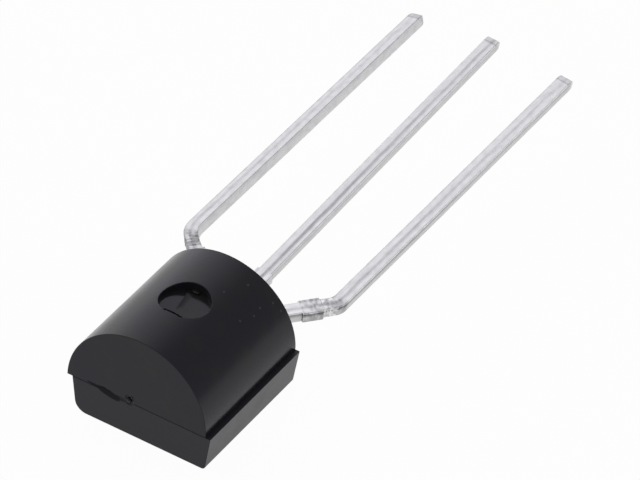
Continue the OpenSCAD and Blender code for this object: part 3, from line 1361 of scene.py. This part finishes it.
    def shape_blank(self, name: str) -> Workpiece:
        """The flat blank with its tab, wings, stubs, tip and groove.

        Args:
            name: The piece's name.

        Returns:
            The blank, along +Y from the origin.
        """
        length = self.blank_length()
        lead = Workpiece.block(name, -self.half, self.half + length * AHEAD)
        with lead.editing():
            for y in self.stations(length):
                lead.slice(y * AHEAD, AHEAD)
            for side, wing in zip((-1, 1), self.wings):
                widen = self.tab_half_width - self.width / 2
                self.draw_side(lead, side, (0, self.tab_length), widen)
                self.draw_side(lead, side, self.span(self.wing_span), wing)
                self.draw_side(lead, side, self.span(self.dam_bar), self.dam_bar_stub)
            for y, share in ((length - self.tip_round, self.tip_round_share), (length, 1.0)):
                lead.pick(Element.POINTS, lambda c, n: abs(c.y - y) < TINY and c.z > 0)
                lead.shift(-share * self.tip_bevel.z * UP)
                lead.pick(Element.POINTS, lambda c, n: abs(c.y - y) < TINY)
                narrowing = 1 - share * (1 - self.tip_narrowing)
                lead.resize((narrowing, 1, 1), y * AHEAD)
            lead.pick_sharp(25, lambda c, n: True)
            lead.bevel(self.edge_radius, strips=3)
            for offset in self.groove_slices:
                lead.slice((self.groove_x + offset) * ACROSS, ACROSS)
            for height in self.side_slices:
                lead.slice(height * UP, UP)
            self.press_groove(lead, length)
        lead.modify("SUBSURF", levels=1, render_levels=1)
        return lead

    def draw_side(self, lead: Workpiece, side: int, stretch: Pair, out: float) -> None:
        """Draws a stretch of one side of the blank out sideways.

        Args:
            lead: The blank, in edit mode.
            side: -1 for the left side and 1 for the right one.
            stretch: Where the stretch starts and ends along the blank.
            out: How far it is drawn out.
        """
        if out > 0:
            start, end = stretch
            lead.pick(Element.FACES, lambda c, n: n.x * side > 0.9 and start < c.y < end)
            lead.extrude(side * out * ACROSS)

    def press_groove(self, lead: Workpiece, length: float) -> None:
        """Presses the shallow groove into the upper face, fading out at both ends.

        Args:
            lead: The blank, in edit mode.
            length: Its length.
        """
        top = self.half.z
        start, end = self.exit + self.groove_ends[0], length - self.groove_ends[1]

        def on_line(point: Vector, normal: Vector) -> bool:
            """Whether a point lies on the groove's middle line."""
            middle = abs(point.x - self.groove_x) < TINY and point.z > top - TINY
            return middle and start < point.y < end

        def sunk(point: Vector) -> Vector:
            """A point of the groove's middle line, pressed in."""
            fade = min(point.y - start, end - point.y) / self.groove_fade
            return point - min(1.0, max(0.0, fade)) * self.groove_depth * UP

        lead.pick(Element.POINTS, on_line)
        lead.reshape(sunk)

    def work_surface(self, lead: Workpiece) -> None:
        """Gives the blank its drawn waviness and the creases where it was clamped.

        Args:
            lead: The blank.
        """
        start, end = self.span(self.creased)
        fade_in, fade_out = self.crease_fades

        def clamped(point: Vector) -> float:
            """1 where the blank was clamped, falling to 0 on both sides."""
            return max(0.0, min(1.0, (point.y - start) / fade_in, (end - point.y) / fade_out))

        lead.roughen(self.waviness, self.wave_grain, self.wave_stretch)
        if end > start:
            lead.weigh("clamped", clamped)
            depth, grain = self.crease_depth, self.crease_grain
            lead.roughen(depth, grain, self.crease_stretch, "clamped", creased=True)

    def form(self, lead: Workpiece) -> None:
        """Bends the blank along its path, lifts it to its height and bends its rise into it.

        Args:
            lead: The blank.
        """
        d = self.datum
        mesh = lead.thing.data
        flat = mesh.attributes.new(STRIP, "FLOAT_VECTOR", "POINT")
        for point in mesh.vertices:
            flat.data[point.index].vector = point.co
        former = self.former()
        lead.modify("CURVE", object=former, deform_axis="POS_Y")
        bpy.data.objects.remove(former)
        kink = Vector((0, d.half_length + self.rise_start, d.parting))
        with lead.editing():
            lead.pick_all()
            lead.shift((d.parting + d.thickness / 2) * UP)
            lead.pick(Element.POINTS, lambda c, n: c.y > kink.y)
            lead.turn("X", self.rise, kink)

    def former(self) -> bpy.types.Object:
        """Draws the curve that the blank is bent along.

        Returns:
            The curve, tilted so that the upper face stays up.
        """
        points = self.path()
        line = bpy.data.curves.new("former", "CURVE")
        line.dimensions = "3D"
        spline = line.splines.new("POLY")
        spline.points.add(len(points) - 1)
        for point, (place, twist) in zip(spline.points, points):
            point.co = (*place, 1)
            point.tilt = math.radians(90 + twist)
        return add_object("former", line)


# ---- parts sealed in the moulding ---------------------------------------------------------------


@dataclass(frozen=True)
class SealedParts:
    """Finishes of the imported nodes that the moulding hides."""

    solder: SealedFinish = SealedFinish(
        "dull_solder", colour(0.5, 0.5, 0.5), colour(0.38, 0.38, 0.4), 1.0, 0.45, 14.0
    )
    silicon: SealedFinish = SealedFinish(
        "silicon_chip", colour(0.1, 0.11, 0.14), colour(0.16, 0.17, 0.2), 0.6, 0.2, 9.0
    )
    gold: SealedFinish = SealedFinish(
        "gold_wire_drawn", colour(0.85, 0.62, 0.22), colour(0.78, 0.55, 0.2), 1.0, 0.25, 30.0
    )

    def dress(self) -> None:
        """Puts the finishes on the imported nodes."""
        gold = self.gold.material()
        finishes = {
            "die_solder": self.solder.material(),
            "silicon_die": self.silicon.material(),
            "left_bond_wire": gold,
            "right_bond_wire": gold,
        }
        for node, material in finishes.items():
            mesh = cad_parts[node].data
            mesh.materials.clear()
            mesh.materials.append(material)
            log.info("%s keeps its packed shape", node)


# ---- the studio ---------------------------------------------------------------------------------


@dataclass(frozen=True)
class Studio:
    """Pale floor, soft light and the camera."""

    azimuth: float = 29.423
    elevation: float = 39.831
    roll: float = 4.369
    lens: float = 319.77
    distance: float = 163.72
    target: Vector = Vector((0.217, 6.673, 1.3))
    floor_size: float = 8.0
    floor_drop: float = 2e-6
    zenith: Colour = colour(0.45, 0.45, 0.47)
    horizon: Colour = colour(0.48, 0.48, 0.50)
    zenith_edges: Pair = (0.0, 0.8)
    glow: Colour = colour(1.40, 1.39, 1.45)
    glow_way: Vector = Vector((-0.8, 0.45, 0.4)).normalized()
    glow_edges: Pair = (0.43, 1.06)

    def build(self) -> None:
        """Sets up everything that isn't part of the object."""
        bpy.context.scene.view_settings.view_transform = "Standard"
        self.lay_floor()
        self.light()
        self.place_camera()

    def lay_floor(self) -> None:
        """Lays the floor just under the flat side."""
        bpy.ops.object.select_all(action="DESELECT")
        bpy.ops.mesh.primitive_plane_add(size=self.floor_size, location=(0, 0, -self.floor_drop))
        floor = bpy.context.object
        floor.name = "floor"
        floor.data.materials.append(FloorFinish().material())

    def light(self) -> None:
        """Lights a grey sky that is paler towards the horizon and has a wide soft glow."""
        world = bpy.data.worlds.new("sky")
        bpy.context.scene.world = world
        tree = ShaderTree(world)
        way = tree.add("ShaderNodeTexCoord", {}, {}, "Generated")
        up = tree.part(way, "Z").ramp(*self.zenith_edges)
        tone = tree.blend(up, self.horizon, self.zenith)
        near = tree.measure("DOT_PRODUCT", way, self.glow_way)
        tone = tree.blend(near.ramp(*self.glow_edges), tone, self.glow)
        sky = tree.add("ShaderNodeBackground", {}, {"Color": tone, "Strength": 1.0}, "Background")
        tree.end("ShaderNodeOutputWorld", sky)

    def place_camera(self) -> None:
        """Places the camera by its azimuth, elevation, roll and distance from its target."""
        azimuth, elevation, roll = map(math.radians, (self.azimuth, self.elevation, self.roll))
        flat = math.cos(elevation)
        back = Vector((math.sin(azimuth) * flat, -math.cos(azimuth) * flat, math.sin(elevation)))
        level = Vector((math.cos(azimuth), math.sin(azimuth), 0))
        right = level * math.cos(roll) + back.cross(level) * math.sin(roll)
        turned = Matrix((right, back.cross(right), back)).transposed().to_4x4()
        turned.translation = (self.target + back * self.distance) * MM
        lens = bpy.data.cameras.new("camera")
        lens.lens = self.lens
        lens.clip_start = 0.001
        lens.clip_end = 20.0
        camera = add_object("camera", lens)
        camera.matrix_world = turned
        bpy.context.scene.camera = camera


# ---- the whole ----------------------------------------------------------------------------------


def leads(datum: Datum) -> list[Lead]:
    """The three leads of the row.

    Args:
        datum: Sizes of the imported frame.

    Returns:
        The leads from left to right.
    """
    post = {"inner_y": 0.68, "tab_half_width": 0.4, "tab_length": 0.72}
    flag = {"inner_y": datum.flag_low, "tab_half_width": 0.95, "tab_length": 1.8}
    # The plates set painted shade along the groove, down the sides, in the creases and on the tips,
    # beside the tin's real tone and blotches.
    left_plate = TinFinish(
        groove_shade_x=0.0,
        groove_shade_share=0.2,
        shear_and_shade_share=0.08,
        blotch_share=0.07,
        top_tone=0.67,
        side_sheared_and_shaded_tone=0.69,
        worked=(1.9, 2.9),
        crease_shade_share=0.7,
    )
    centre_plate = TinFinish(
        groove_shade_x=0.05,
        groove_shade_share=0.45,
        shear_and_shade_share=0.18,
        blotch_share=0.05,
        top_tone=0.86,
        side_sheared_and_shaded_tone=0.62,
        worked=(1.34, 2.1),
        crease_shade_share=0.15,
    )
    right_plate = TinFinish(
        groove_shade_x=0.03,
        groove_shade_share=0.27,
        shear_and_shade_share=0.55,
        blotch_share=0.06,
        top_tone=0.89,
        side_sheared_and_shaded_tone=0.62,
        worked=(1.34, 2.75),
        crease_shade_share=0.54,
    )
    left = Lead(
        datum,
        Place.LEFT,
        spread=1.485,
        angle=46.4,
        toe=1.1,
        twist=-12.0,
        groove_depth=0.006,
        groove_x=0.0,
        creased=(2.0, 2.75),
        plate=left_plate,
        tip_narrowing=0.55,
        joggle_start=0.49,
        bend_radius=0.8,
        wings=(0.24, 0.0),
        **post,
    )
    centre = Lead(
        datum,
        Place.CENTRE,
        spread=0.0,
        angle=0.0,
        toe=0.2,
        twist=6.0,
        width=0.43,
        groove_depth=0.008,
        groove_x=0.05,
        creased=(0.0, 0.0),
        plate=centre_plate,
        wings=(0.12, 0.12),
        rise=1.75,
        **flag,
    )
    right = Lead(
        datum,
        Place.RIGHT,
        spread=1.13,
        angle=41.8,
        toe=-1.2,
        twist=6.0,
        width=0.44,
        groove_depth=0.004,
        groove_x=0.03,
        creased=(1.97, 2.45),
        plate=right_plate,
        wings=(0.0, 0.24),
        **post,
    )
    return [left, centre, right]


def main() -> None:
    """Builds the studio and every piece, in order."""
    logging.basicConfig(level=logging.INFO, format="%(name)s: %(message)s")
    Studio().build()
    datum = Datum.measure()
    SealedParts().dress()
    for maker in [Moulding(datum), *leads(datum)]:
        piece = maker.build()
        log.info("%s has %d faces", piece.name, len(piece.data.polygons))


if __name__ == "__main__":
    main()
